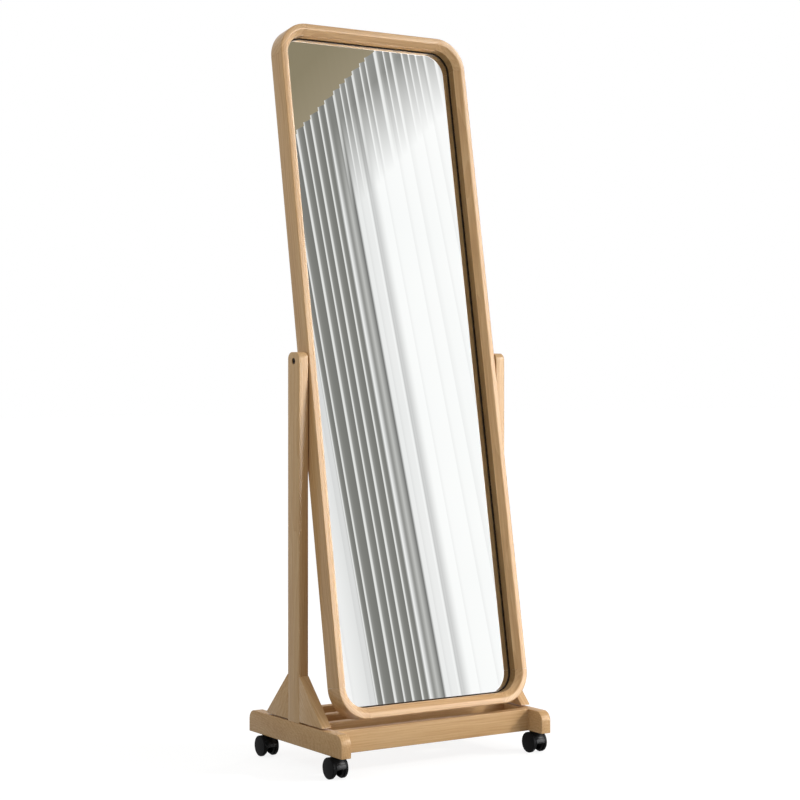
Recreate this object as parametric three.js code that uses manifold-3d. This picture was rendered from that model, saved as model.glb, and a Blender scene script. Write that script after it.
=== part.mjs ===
// A rolling floor mirror: a tall mirror in a moulded wooden frame tilts between two posts, which
// stand on a base of two feet and four cross rails with a twin-wheel caster at each corner.
//
// Millimetres and degrees. +X is to the right, +Y to the rear and +Z up. The origin is on the floor
// under the middle of the base, straight below the tilt axis.

import * as THREE from 'three';
import { mergeVertices } from 'three/addons/utils/BufferGeometryUtils.js';
import Module from 'manifold-3d';

const wasm = await Module();
wasm.setup();

// ------------------------------------------------------------------------ driving dimensions

// Clearances
const SEAT_GAP = 0.3; // between pieces that rest on each other inside the tilted mirror
const RUNNING_GAP = 0.3; // radial gap round a pin or shank in its hole
const OVERSHOOT = 1; // how far a cutter runs past the face that it starts from

// Mirror frame
const FRAME_WIDTH = 475;
const FRAME_ABOVE_AXIS = 732; // tilt axis to the top edge, along the frame
const FRAME_BELOW_AXIS = 742.5;
const AXIS_DEPTH = 22; // frame's front face to the tilt axis
const REST_TILT = 10; // degrees, top to the rear
const CORNER_RADIUS = 68; // outer radius of the corner blocks
const CORNER_STEPS = 12;
const SECTION_STEPS = 1; // two facets on each rounded outer edge
const OUTER_ROUND = 2; // rounding of the frame's two outer edges
const LAND_WIDTH = 12.1; // flat front land
const LAND_ROUND = 2.2; // rounding from the land into the chamfer
const CHAMFER_WIDTH = 11;
const CHAMFER_DEPTH = 11.8;
const WALL_DEPTH = 19.3; // square inner wall, from the chamfer to the shoulder
const SHOULDER_WIDTH = 7.6; // shoulder that covers the edge of the glass
const BACK_LIP = 5.6; // frame's back face behind the backing board

// What the frame holds
const SEAL_THICKNESS = 1.4;
const SEAL_SHOWING = 2.6; // strip that shows inside the wooden edge
const SEAL_EDGE_GAP = 1.5;
const GLASS_THICKNESS = 4;
const GLASS_EDGE_GAP = 1;
const BOARD_THICKNESS = 3;
const CLIP_SHEET = 1;
const CLIP_WIDTH = 14;
const CLIP_FOOT = 11; // length on the frame's back
const CLIP_TONGUE = 14; // length over the backing board
const CLIP_WALL_GAP = 0.5;
const CLIP_END_DISTANCE = 130; // corner block to the nearest clip on a stile

// Posts and gussets
const SIDE_GAP = 3; // frame to post, at each side
const SWING_CLEARANCE = 4.6; // swinging lower edge of the frame to the base
const POST_THICKNESS = 22;
const POST_DEPTH = 46;
const POST_ABOVE_AXIS = 19;
const POST_TOP_RADIUS = 15;
const GUSSET_HEIGHT = 94;
const GUSSET_REACH = 92;
const GUSSET_LIFT = 3.5; // shadow gap over the foot
const GUSSET_TOE = 1.5;
const BOARD_EDGE = 0.75; // small chamfer on posts, gussets and feet

// Tilt pivot
const ROD_SIDES = 16; // facets of pins, bolts, holes and rings
const BOLT_RADIUS = 3;
const BOLT_HEAD_RADIUS = 6;
const BOLT_HEAD_HEIGHT = 4;
const BOLT_HEAD_SINK = 1.2; // head below the post's outer face
const HEX_RADIUS = 2.9; // socket in a bolt head, to its corners
const HEX_DEPTH = 2.2;
const COUNTERBORE_GAP = 1;
const INSERT_WALL = 2;
const INSERT_LENGTH = 14;
const SPACER_RADIUS = 9;

// Base
const FOOT_THICKNESS = 23.5;
const FOOT_HEIGHT = 46.5;
const FOOT_BEYOND_GUSSET = 74; // gusset toe to the end of the foot
const FOOT_NOSE_RADIUS = 20;
const RAIL_COUNT = 4;
const RAIL_THICKNESS = 21;
const RAIL_EDGE = 1.5;
const FRONT_RAIL_SETBACK = 48.5; // foot's front end to the front rail's front face
const REAR_RAIL_SETBACK = 38.5;
const POST_BOLT_GRIP = 38; // length of the foot bolt inside the post

// Casters
const CASTER_INSET = 48.5; // end of the foot to the stem
const CASTER_TRAIL = 7; // stem to axle, towards the front at rest
const WHEEL_RADIUS = 22;
const WHEEL_STEPS = 24;
const WHEEL_TOP_GAP = 1.5; // wheels to the underside of the foot
const OUTER_TREAD = 4.8;
const INNER_TREAD = 3.6; // stepped part of the wheel, under the hood
const TREAD_ROUND = 1.7;
const DISC_RISE = 0.9; // dome of the outer disc
const DISC_STATION = 0.6; // share of the disc's radius at which its dome is drawn
const DISC_WALL = 2.6;
const RIM_WALL = 2.4;
const WHEEL_HUB_WALL = 2.4;
const AXLE_RADIUS = 2.5;
const AXLE_END_GAP = 0.5;
const HOOD_WALL = 1.9;
const HOOD_TREAD_GAP = 0.8; // stepped tread to the hood above it
const HOOD_SIDE_GAP = 0.4;
const HOOD_LIP = 1.3; // how far the front lip stands out
const HOOD_REAR_ANGLE = -25; // degrees from straight back, over the top to the front
const HOOD_WEB_ANGLE = 140;
const HOOD_LIP_ANGLE = 168;
const HOOD_FRONT_ANGLE = 188;
const HUB_RADIUS = 7.5;
const STEM_PIN_RADIUS = 3.5;
const STEM_WALL = 2.7;
const STEM_PIN_LENGTH = 22.5;
const STEM_SHANK_RADIUS = 4;
const STEM_SHANK_LENGTH = 28;
const STEM_FLANGE_RADIUS = 6;
const STEM_FLANGE_HEIGHT = 0.9;
const HOOD_TOP_GAP = 1.2; // hood's collar to the underside of the foot
const HOOD_FACET = 15; // degrees
const HOOD_BEAD_SIDES = 12; // facets of the rolled front edge
const COLLAR_INSET = 0.1; // collar inside the faces of the web
const WEB_WHEEL_GAP = 1.1;

// ------------------------------------------------------------------------ derived places

// Frame section, as insets from the frame's outer side and depths from its front face
const lipInset = LAND_WIDTH + CHAMFER_WIDTH;
const rebateInset = lipInset - SHOULDER_WIDTH;
const shoulderDepth = CHAMFER_DEPTH + WALL_DEPTH;
const sealDepth = shoulderDepth + SEAT_GAP;
const glassDepth = sealDepth + SEAL_THICKNESS + SEAT_GAP;
const boardDepth = glassDepth + GLASS_THICKNESS + SEAT_GAP;
const boardBack = boardDepth + BOARD_THICKNESS;
const frameDepth = boardBack + BACK_LIP;

const frameLength = FRAME_ABOVE_AXIS + FRAME_BELOW_AXIS;
const frameMiddle = (FRAME_ABOVE_AXIS - FRAME_BELOW_AXIS) / 2;

// Heights
const footBottom = 2 * WHEEL_RADIUS + WHEEL_TOP_GAP;
const footTop = footBottom + FOOT_HEIGHT;
const deepestSide = Math.max(AXIS_DEPTH, frameDepth + SEAT_GAP + CLIP_SHEET - AXIS_DEPTH);
const axisHeight = footTop + Math.hypot(FRAME_BELOW_AXIS, deepestSide) + SWING_CLEARANCE;
const axisOnPost = axisHeight - footTop;
const postLength = axisOnPost + POST_ABOVE_AXIS;

// Sideways places, from the middle plane
const postInner = FRAME_WIDTH / 2 + SIDE_GAP;
const postOuter = postInner + POST_THICKNESS;
const postMiddle = (postInner + postOuter) / 2;
const footMiddle = postOuter - FOOT_THICKNESS / 2;
const footInner = postOuter - FOOT_THICKNESS;

// Front-to-rear places, from the tilt axis
const footLength = POST_DEPTH + 2 * (GUSSET_REACH + FOOT_BEYOND_GUSSET);
const stemOffset = footLength / 2 - CASTER_INSET;
const firstRail = -footLength / 2 + FRONT_RAIL_SETBACK + RAIL_THICKNESS / 2;
const lastRail = footLength / 2 - REAR_RAIL_SETBACK - RAIL_THICKNESS / 2;

// Pivot, from the middle plane outwards
const insertRadius = BOLT_RADIUS + RUNNING_GAP + INSERT_WALL;
const insertHole = INSERT_LENGTH + 2 * SEAT_GAP;
const counterboreRadius = BOLT_HEAD_RADIUS + COUNTERBORE_GAP;
const headSeat = BOLT_HEAD_SINK + BOLT_HEAD_HEIGHT;
const headRecess = headSeat + SEAT_GAP;

// Caster, with x from the middle of the wheel pair and radii from the axle
const hoodRadius = WHEEL_RADIUS;
const hoodInner = hoodRadius - HOOD_WALL;
const innerTreadRadius = hoodInner - HOOD_TREAD_GAP;
const webHalf = STEM_PIN_RADIUS + RUNNING_GAP + STEM_WALL;
const wheelInner = webHalf + WEB_WHEEL_GAP;
const hoodHalf = wheelInner + INNER_TREAD;
const outerTreadStart = hoodHalf + HOOD_SIDE_GAP;
const wheelRim = outerTreadStart + OUTER_TREAD + TREAD_ROUND;
const wheelFace = wheelRim + DISC_RISE;
const cupFloor = wheelRim - DISC_WALL;
const axleHole = AXLE_RADIUS + RUNNING_GAP;
const axleHalf = cupFloor - AXLE_END_GAP;
const axleDrop = footBottom - WHEEL_RADIUS;

// ------------------------------------------------------------------------ materials

const oak = new THREE.MeshStandardMaterial({ color: 0xd3ad7f, roughness: 0.5, metalness: 0 });
const mirrorSilver = new THREE.MeshStandardMaterial({ color: 0xe4e8e8, roughness: 0.03, metalness: 1 });
const blackSeal = new THREE.MeshStandardMaterial({ color: 0x17140f, roughness: 0.7, metalness: 0 });
const hardboard = new THREE.MeshStandardMaterial({ color: 0x8a6a4a, roughness: 0.85, metalness: 0 });
const zincSteel = new THREE.MeshStandardMaterial({ color: 0xb4b7ba, roughness: 0.35, metalness: 1 });
const blackSteel = new THREE.MeshStandardMaterial({ color: 0x2a2a2b, roughness: 0.45, metalness: 1 });
const brass = new THREE.MeshStandardMaterial({ color: 0xb08d4c, roughness: 0.4, metalness: 1 });
const whiteNylon = new THREE.MeshStandardMaterial({ color: 0xe2ded4, roughness: 0.55, metalness: 0 });
const blackPlastic = new THREE.MeshStandardMaterial({ color: 0x202022, roughness: 0.4, metalness: 0 });

// ------------------------------------------------------------------------ solids and booleans

const degrees = THREE.MathUtils.degToRad;

function toSolid(geometry) {
  const bare = geometry.clone();
  bare.deleteAttribute('normal');
  bare.deleteAttribute('uv');
  const merged = mergeVertices(bare, 1e-4);
  return new wasm.Manifold(new wasm.Mesh({
    numProp: 3,
    vertProperties: new Float32Array(merged.attributes.position.array),
    triVerts: new Uint32Array(merged.index.array),
  }));
}

function toGeometry(solid) {
  const mesh = solid.getMesh();
  const geometry = new THREE.BufferGeometry();
  geometry.setAttribute('position', new THREE.BufferAttribute(mesh.vertProperties, 3));
  geometry.setIndex(new THREE.BufferAttribute(mesh.triVerts, 1));
  const flat = geometry.toNonIndexed();
  flat.computeVertexNormals();
  return flat;
}

function cut(geometry, ...tools) {
  return toGeometry(tools.reduce((solid, tool) => solid.subtract(toSolid(tool)), toSolid(geometry)));
}

function join(geometry, ...others) {
  return toGeometry(others.reduce((solid, other) => solid.add(toSolid(other)), toSolid(geometry)));
}

// A round rod along x or z, from one coordinate to another
function rodX(radius, from, to, sides = ROD_SIDES) {
  const rod = new THREE.CylinderGeometry(radius, radius, to - from, sides);
  return rod.rotateZ(-Math.PI / 2).translate((from + to) / 2, 0, 0);
}

function rodZ(radius, from, to, sides = ROD_SIDES) {
  const rod = new THREE.CylinderGeometry(radius, radius, to - from, sides);
  return rod.rotateX(Math.PI / 2).translate(0, 0, (from + to) / 2);
}

// A side outline, drawn with x to the rear and y up, given a thickness about the middle plane.
// An arc gets two facets for each of the geometry's curve segments.
function sideBoard(outline, thickness, { edge = 0, arcFacets = 8 } = {}) {
  const board = new THREE.ExtrudeGeometry(outline, {
    depth: thickness - 2 * edge,
    bevelEnabled: edge > 0,
    bevelThickness: edge,
    bevelSize: edge,
    bevelOffset: -edge,
    bevelSegments: 1,
    curveSegments: arcFacets / 2,
  });
  board.translate(0, 0, edge - thickness / 2);
  const rearwards = new THREE.Vector3(0, 1, 0);
  const upwards = new THREE.Vector3(0, 0, 1);
  const sideways = new THREE.Vector3(1, 0, 0);
  return board.applyMatrix4(new THREE.Matrix4().makeBasis(rearwards, upwards, sideways));
}

// ------------------------------------------------------------------------ mirror frame

// The frame's section. x is 0 at the outer side and falls inwards, and y is 0 at the tilt axis.
function frameSection() {
  const front = -AXIS_DEPTH;
  const back = frameDepth - AXIS_DEPTH;
  const intoChamfer = LAND_ROUND / Math.hypot(CHAMFER_WIDTH, CHAMFER_DEPTH);
  const section = new THREE.Shape();
  section.moveTo(0, back - OUTER_ROUND);
  section.absarc(-OUTER_ROUND, back - OUTER_ROUND, OUTER_ROUND, 0, Math.PI / 2, false);
  section.lineTo(-rebateInset, back);
  section.lineTo(-rebateInset, front + shoulderDepth);
  section.lineTo(-lipInset, front + shoulderDepth);
  section.lineTo(-lipInset, front + CHAMFER_DEPTH);
  section.lineTo(-LAND_WIDTH - CHAMFER_WIDTH * intoChamfer, front + CHAMFER_DEPTH * intoChamfer);
  section.quadraticCurveTo(-LAND_WIDTH, front, -LAND_WIDTH + LAND_ROUND, front);
  section.lineTo(-OUTER_ROUND, front);
  section.absarc(-OUTER_ROUND, front + OUTER_ROUND, OUTER_ROUND, -Math.PI / 2, 0, false);
  return section;
}

// A straight length of the frame's section along z, with its outer side on x = 0
function frameBar(length) {
  const bar = new THREE.ExtrudeGeometry(frameSection(), {
    depth: length,
    bevelEnabled: false,
    curveSegments: SECTION_STEPS,
  });
  return bar.translate(0, 0, -length / 2);
}

// The same section turned through a quarter circle from +x to +z, about an axis through the origin
function frameCorner() {
  const section = frameSection().extractPoints(SECTION_STEPS).shape;
  if (THREE.ShapeUtils.isClockWise(section)) section.reverse();
  const positions = [];
  const triangles = [];
  for (let step = 0; step <= CORNER_STEPS; step += 1) {
    const angle = (step / CORNER_STEPS) * (Math.PI / 2);
    for (const point of section) {
      const radius = CORNER_RADIUS + point.x;
      positions.push(radius * Math.cos(angle), point.y, radius * Math.sin(angle));
    }
  }
  for (let step = 0; step < CORNER_STEPS; step += 1) {
    for (let at = 0; at < section.length; at += 1) {
      const next = (at + 1) % section.length;
      const near = step * section.length;
      const far = near + section.length;
      triangles.push(near + at, near + next, far + next, near + at, far + next, far + at);
    }
  }
  const lastStation = CORNER_STEPS * section.length;
  for (const [a, b, c] of THREE.ShapeUtils.triangulateShape(section, [])) {
    triangles.push(c, b, a, lastStation + a, lastStation + b, lastStation + c);
  }
  const corner = new THREE.BufferGeometry();
  corner.setAttribute('position', new THREE.Float32BufferAttribute(positions, 3));
  corner.setIndex(triangles);
  const flat = corner.toNonIndexed();
  flat.computeVertexNormals();
  return flat;
}

// A stile has a blind hole for the pivot's threaded insert, at the height of the tilt axis
function stile(length, axisAlong) {
  const hole = rodX(insertRadius + SEAT_GAP, -insertHole, OUTER_ROUND);
  return cut(frameBar(length), hole.translate(0, 0, axisAlong));
}

// ------------------------------------------------------------------------ glass, seal and backing

// An outline that follows the frame's outer edge at a constant inset
function insetOutline(inset, pathClass) {
  const halfWidth = FRAME_WIDTH / 2 - inset;
  const halfLength = frameLength / 2 - inset;
  const radius = CORNER_RADIUS - inset;
  const outline = new pathClass();
  const quarters = [[1, 1, 0], [-1, 1, 1], [-1, -1, 2], [1, -1, 3]];
  for (const [right, up, quarter] of quarters) {
    const from = (quarter * Math.PI) / 2;
    const x = right * (halfWidth - radius);
    const y = up * (halfLength - radius);
    outline.absarc(x, y, radius, from, from + Math.PI / 2, false);
  }
  return outline;
}

// A sheet of that outline, from a depth behind the frame's front face
function sheet(outline, depth, thickness) {
  const plate = new THREE.ExtrudeGeometry(outline, {
    depth: thickness,
    bevelEnabled: false,
    curveSegments: CORNER_STEPS / 2,
  });
  return plate.rotateX(Math.PI / 2).translate(0, depth + thickness - AXIS_DEPTH, 0);
}

function glassSheet() {
  return sheet(insetOutline(rebateInset + GLASS_EDGE_GAP, THREE.Shape), glassDepth, GLASS_THICKNESS);
}

function backingSheet() {
  return sheet(insetOutline(rebateInset + GLASS_EDGE_GAP, THREE.Shape), boardDepth, BOARD_THICKNESS);
}

function sealRing() {
  const ring = insetOutline(rebateInset + SEAL_EDGE_GAP, THREE.Shape);
  ring.holes.push(insetOutline(lipInset + SEAL_SHOWING, THREE.Path));
  return sheet(ring, sealDepth, SEAL_THICKNESS);
}

// A stepped sheet-metal clip, in the same frame as the bar that it is screwed to
function retainingClip() {
  const onFrame = frameDepth + SEAT_GAP - AXIS_DEPTH;
  const onBoard = boardBack + SEAT_GAP - AXIS_DEPTH;
  const bend = -rebateInset - CLIP_WALL_GAP;
  const heel = -rebateInset + CLIP_FOOT;
  const tip = bend - CLIP_SHEET - CLIP_TONGUE;
  const profile = new THREE.Shape();
  profile.moveTo(heel, onFrame);
  profile.lineTo(heel, onFrame + CLIP_SHEET);
  profile.lineTo(bend - CLIP_SHEET, onFrame + CLIP_SHEET);
  profile.lineTo(bend - CLIP_SHEET, onBoard + CLIP_SHEET);
  profile.lineTo(tip, onBoard + CLIP_SHEET);
  profile.lineTo(tip, onBoard);
  profile.lineTo(bend, onBoard);
  profile.lineTo(bend, onFrame);
  const clip = new THREE.ExtrudeGeometry(profile, { depth: CLIP_WIDTH, bevelEnabled: false });
  return clip.translate(0, 0, -CLIP_WIDTH / 2);
}

// ------------------------------------------------------------------------ pivot

// A socket-head bolt along x: the head's seat is at 0, the head outwards and the shank inwards
function socketBolt(shankLength) {
  const head = rodX(BOLT_HEAD_RADIUS, 0, BOLT_HEAD_HEIGHT);
  const shank = rodX(BOLT_RADIUS, -shankLength, BOLT_HEAD_HEIGHT / 2);
  const socket = rodX(HEX_RADIUS, BOLT_HEAD_HEIGHT - HEX_DEPTH, BOLT_HEAD_HEIGHT + OVERSHOOT, 6);
  return cut(join(head, shank), socket);
}

// A plain ring along x
function ringX(outerRadius, holeRadius, from, to) {
  return cut(rodX(outerRadius, from, to), rodX(holeRadius, from - OVERSHOOT, to + OVERSHOOT));
}

// ------------------------------------------------------------------------ posts, gussets and base

// The post stands on z = 0 and has its counterbored pivot hole open to +x
function post() {
  const half = POST_DEPTH / 2;
  const outline = new THREE.Shape();
  outline.moveTo(-half, 0);
  outline.lineTo(half, 0);
  outline.absarc(half - POST_TOP_RADIUS, postLength - POST_TOP_RADIUS, POST_TOP_RADIUS, 0, Math.PI / 2);
  outline.absarc(
    POST_TOP_RADIUS - half, postLength - POST_TOP_RADIUS, POST_TOP_RADIUS, Math.PI / 2, Math.PI,
  );
  const face = POST_THICKNESS / 2;
  const boltHole = BOLT_RADIUS + RUNNING_GAP;
  const hole = rodX(boltHole, -face - OVERSHOOT, face + OVERSHOOT);
  const counterbore = rodX(counterboreRadius, face - headRecess, face + OVERSHOOT);
  const footBoltHole = rodZ(boltHole, -OVERSHOOT, POST_BOLT_GRIP + SEAT_GAP);
  const board = sideBoard(outline, POST_THICKNESS, { edge: BOARD_EDGE });
  hole.translate(0, 0, axisOnPost);
  counterbore.translate(0, 0, axisOnPost);
  return cut(board, hole, counterbore, footBoltHole);
}

// A right triangle that reaches towards +y from the post, which is at y = 0
function gusset() {
  const outline = new THREE.Shape();
  outline.moveTo(0, 0);
  outline.lineTo(GUSSET_REACH, 0);
  outline.lineTo(GUSSET_REACH, GUSSET_TOE);
  outline.lineTo(GUSSET_TOE, GUSSET_HEIGHT);
  outline.lineTo(0, GUSSET_HEIGHT);
  return sideBoard(outline, POST_THICKNESS, { edge: BOARD_EDGE });
}

// The foot lies on z = 0, with rounded upper corners, two stem holes and a counterbored bolt hole
function foot() {
  const half = footLength / 2;
  const round = FOOT_NOSE_RADIUS;
  const outline = new THREE.Shape();
  outline.moveTo(-half, 0);
  outline.lineTo(half, 0);
  outline.absarc(half - round, FOOT_HEIGHT - round, round, 0, Math.PI / 2);
  outline.absarc(round - half, FOOT_HEIGHT - round, round, Math.PI / 2, Math.PI);
  const stemHoles = [-1, 1].map((end) => rodZ(
    STEM_SHANK_RADIUS + SEAT_GAP, -OVERSHOOT, STEM_SHANK_LENGTH + SEAT_GAP,
  ).translate(0, end * stemOffset, 0));
  const besidePost = postMiddle - footMiddle;
  const boltHole = rodZ(BOLT_RADIUS + RUNNING_GAP, -OVERSHOOT, FOOT_HEIGHT + OVERSHOOT);
  const counterbore = rodZ(counterboreRadius, -OVERSHOOT, headRecess);
  boltHole.translate(besidePost, 0, 0);
  counterbore.translate(besidePost, 0, 0);
  const board = sideBoard(outline, FOOT_THICKNESS, { edge: BOARD_EDGE });
  return cut(board, ...stemHoles, boltHole, counterbore);
}

// A cross rail between the feet, on z = 0, with its four long edges rounded
function crossRail() {
  const half = RAIL_THICKNESS / 2 - RAIL_EDGE;
  const section = new THREE.Shape();
  section.absarc(half, RAIL_EDGE, RAIL_EDGE, -Math.PI / 2, 0);
  section.absarc(half, FOOT_HEIGHT - RAIL_EDGE, RAIL_EDGE, 0, Math.PI / 2);
  section.absarc(-half, FOOT_HEIGHT - RAIL_EDGE, RAIL_EDGE, Math.PI / 2, Math.PI);
  section.absarc(-half, RAIL_EDGE, RAIL_EDGE, Math.PI, 1.5 * Math.PI);
  return sideBoard(section, 2 * footInner, { arcFacets: 2 });
}

// ------------------------------------------------------------------------ casters

// A piece of a disc or ring about the axle, drawn from straight back over the top to the front
function hoodSector(innerRadius, outerRadius, from, to, halfWidth) {
  const outline = new THREE.Shape();
  outline.absarc(0, 0, outerRadius, degrees(from), degrees(to), false);
  if (innerRadius > 0) outline.absarc(0, 0, innerRadius, degrees(to), degrees(from), true);
  else outline.lineTo(0, 0);
  const arcFacets = 2 * Math.ceil((to - from) / HOOD_FACET / 2);
  return sideBoard(outline, 2 * halfWidth, { arcFacets });
}

// The moulded hood, about the axle: a curved cover over the stepped treads, with a thick front lip,
// a web between the wheels that holds the axle, and a collar round the stem
function casterHood() {
  const cover = hoodSector(hoodInner, hoodRadius, HOOD_REAR_ANGLE, HOOD_FRONT_ANGLE, hoodHalf);
  const midWall = hoodRadius - HOOD_WALL / 2;
  const lip = hoodSector(midWall, hoodRadius + HOOD_LIP, HOOD_LIP_ANGLE, HOOD_FRONT_ANGLE, hoodHalf);
  const beadRadius = (HOOD_WALL + HOOD_LIP) / 2;
  const beadCentre = hoodInner + beadRadius;
  const front = degrees(HOOD_FRONT_ANGLE);
  const bead = rodX(beadRadius, -hoodHalf, hoodHalf, HOOD_BEAD_SIDES);
  bead.translate(0, beadCentre * Math.cos(front), beadCentre * Math.sin(front));
  const web = hoodSector(0, midWall, HOOD_REAR_ANGLE, HOOD_WEB_ANGLE, webHalf);
  const hub = rodX(HUB_RADIUS, -webHalf, webHalf);
  const collarTop = axleDrop - HOOD_TOP_GAP;
  const collar = rodZ(webHalf - COLLAR_INSET, collarTop - HUB_RADIUS, collarTop);
  const stemHole = rodZ(STEM_PIN_RADIUS + RUNNING_GAP, axleDrop - STEM_PIN_LENGTH - SEAT_GAP, axleDrop);
  const body = join(cover, lip, bead, web, hub, collar.translate(0, CASTER_TRAIL, 0));
  const axleBore = rodX(axleHole, -webHalf - OVERSHOOT, webHalf + OVERSHOOT);
  return cut(body, stemHole.translate(0, CASTER_TRAIL, 0), axleBore);
}

// Revolves a profile of [radius, distance along the axis] points about x
function turnedX(profile, steps) {
  const points = profile.map(([radius, along]) => new THREE.Vector2(radius, along));
  return new THREE.LatheGeometry(points, steps).rotateZ(-Math.PI / 2);
}

// A cup-shaped wheel whose closed outer disc faces +x. Its hub turns on the end of the axle.
function casterWheel() {
  const hubWall = axleHole + WHEEL_HUB_WALL;
  const roundStart = wheelRim - TREAD_ROUND;
  const roundAt = (turn) => [
    WHEEL_RADIUS - TREAD_ROUND + TREAD_ROUND * Math.cos(degrees(turn)),
    roundStart + TREAD_ROUND * Math.sin(degrees(turn)),
  ];
  const flatRadius = WHEEL_RADIUS - TREAD_ROUND;
  return turnedX([
    [0, axleHalf + AXLE_END_GAP],
    [axleHole, axleHalf + AXLE_END_GAP],
    [axleHole, wheelInner],
    [hubWall, wheelInner],
    [hubWall, cupFloor],
    [innerTreadRadius - RIM_WALL, cupFloor],
    [innerTreadRadius - RIM_WALL, wheelInner],
    [innerTreadRadius, wheelInner],
    [innerTreadRadius, outerTreadStart],
    [WHEEL_RADIUS, outerTreadStart],
    roundAt(0),
    roundAt(45),
    roundAt(90),
    [DISC_STATION * flatRadius, wheelRim + (1 - DISC_STATION ** 2) * DISC_RISE],
    [0, wheelFace],
  ], WHEEL_STEPS);
}

// The stem: a shank up into the foot, a thin flange under it and a pin down into the hood. z = 0 is
// the underside of the foot.
function casterStem() {
  const profile = [
    [0, -STEM_PIN_LENGTH],
    [STEM_PIN_RADIUS, -STEM_PIN_LENGTH],
    [STEM_PIN_RADIUS, -STEM_FLANGE_HEIGHT],
    [STEM_FLANGE_RADIUS, -STEM_FLANGE_HEIGHT],
    [STEM_FLANGE_RADIUS, 0],
    [STEM_SHANK_RADIUS, 0],
    [STEM_SHANK_RADIUS, STEM_SHANK_LENGTH],
    [0, STEM_SHANK_LENGTH],
  ].map(([radius, height]) => new THREE.Vector2(radius, height));
  return new THREE.LatheGeometry(profile, ROD_SIDES).rotateX(Math.PI / 2);
}

// ------------------------------------------------------------------------ assembly

const model = new THREE.Group();

function place(parent, name, geometry, material, position = [0, 0, 0], rotation = [0, 0, 0]) {
  const mesh = new THREE.Mesh(geometry, material);
  mesh.name = name;
  mesh.position.set(...position);
  mesh.rotation.set(...rotation);
  parent.add(mesh);
  return mesh;
}

// The mirror: everything that tilts. Its group has its origin on the tilt axis.
const mirror = new THREE.Group();
mirror.position.set(0, 0, axisHeight);
mirror.rotation.x = -degrees(REST_TILT);
model.add(mirror);

const frame = new THREE.Group();
frame.position.z = frameMiddle;
mirror.add(frame);

const stileLength = frameLength - 2 * (CORNER_RADIUS + SEAT_GAP);
const railLength = FRAME_WIDTH - 2 * (CORNER_RADIUS + SEAT_GAP);
const clipReach = stileLength / 2 - CLIP_END_DISTANCE;
const halfWidth = FRAME_WIDTH / 2;
const halfLength = frameLength / 2;

// The frame's members are drawn with their outer side towards +x and are turned by quarters, so the
// left stile runs the other way up. Each carries its clips.
const members = [
  { name: 'stile_right', along: stileLength, axis: -frameMiddle, at: [halfWidth, 0], clips: 3 },
  { name: 'rail_top', along: railLength, at: [0, halfLength], clips: 1 },
  { name: 'stile_left', along: stileLength, axis: frameMiddle, at: [-halfWidth, 0], clips: 3 },
  { name: 'rail_bottom', along: railLength, at: [0, -halfLength], clips: 1 },
];
const clipGeometry = retainingClip();
members.forEach(({ name, along, axis, at, clips }, quarter) => {
  const side = new THREE.Group();
  side.position.set(at[0], 0, at[1]);
  side.rotation.y = (-quarter * Math.PI) / 2;
  frame.add(side);
  place(side, `frame_${name}`, axis === undefined ? frameBar(along) : stile(along, axis), oak);
  for (let index = 0; index < clips; index += 1) {
    const reach = clips > 1 ? clipReach * ((2 * index) / (clips - 1) - 1) : 0;
    place(side, `back_clip_${name}_${index + 1}`, clipGeometry, zincSteel, [0, 0, reach]);
  }
});

const cornerGeometry = frameCorner();
const cornerX = halfWidth - CORNER_RADIUS;
const cornerZ = halfLength - CORNER_RADIUS;
const corners = [['top_right', 1, 1], ['top_left', -1, 1], ['bottom_left', -1, -1], ['bottom_right', 1, -1]];
corners.forEach(([name, right, up], quarter) => {
  const turn = [0, (-quarter * Math.PI) / 2, 0];
  place(frame, `frame_corner_${name}`, cornerGeometry, oak, [right * cornerX, 0, up * cornerZ], turn);
});

place(frame, 'glass_seal', sealRing(), blackSeal);
place(frame, 'mirror_glass', glassSheet(), mirrorSilver);
place(frame, 'backing_board', backingSheet(), hardboard);

// The posts with their feet, gussets and pivots. Each is drawn for the right side, with its outer
// face towards +x, and turned half round for the left.
const postGeometry = post();
const footGeometry = foot();
const gussetGeometry = gusset();
const pivotBoltGeometry = socketBolt(postOuter - headSeat - FRAME_WIDTH / 2 + INSERT_LENGTH);
const footBoltGeometry = socketBolt(FOOT_HEIGHT - headSeat + POST_BOLT_GRIP);
const insertGeometry = ringX(
  insertRadius, BOLT_RADIUS + RUNNING_GAP, -INSERT_LENGTH - SEAT_GAP, -SEAT_GAP,
);
const spacerGeometry = ringX(SPACER_RADIUS, BOLT_RADIUS + RUNNING_GAP, SEAT_GAP, SIDE_GAP - SEAT_GAP);

for (const [side, outwards] of [['left', -1], ['right', 1]]) {
  const turn = [0, 0, outwards > 0 ? 0 : Math.PI];
  place(model, `post_${side}`, postGeometry, oak, [outwards * postMiddle, 0, footTop], turn);
  place(model, `foot_${side}`, footGeometry, oak, [outwards * footMiddle, 0, footBottom], turn);
  for (const [end, rearwards] of [['front', -1], ['rear', 1]]) {
    const seat = [outwards * postMiddle, (rearwards * POST_DEPTH) / 2, footTop + GUSSET_LIFT];
    const facing = [0, 0, rearwards > 0 ? 0 : Math.PI];
    place(model, `gusset_${end}_${side}`, gussetGeometry, oak, seat, facing);
  }
  const footBoltSeat = [outwards * postMiddle, 0, footBottom + headSeat];
  place(model, `foot_bolt_${side}`, footBoltGeometry, blackSteel, footBoltSeat, [0, Math.PI / 2, 0]);

  const frameSide = [outwards * halfWidth, 0, 0];
  place(mirror, `pivot_insert_${side}`, insertGeometry, brass, frameSide, turn);
  place(mirror, `pivot_spacer_${side}`, spacerGeometry, whiteNylon, frameSide, turn);
  const pivotBoltSeat = [outwards * (postOuter - headSeat), 0, 0];
  place(mirror, `pivot_bolt_${side}`, pivotBoltGeometry, blackSteel, pivotBoltSeat, turn);
}

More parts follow.
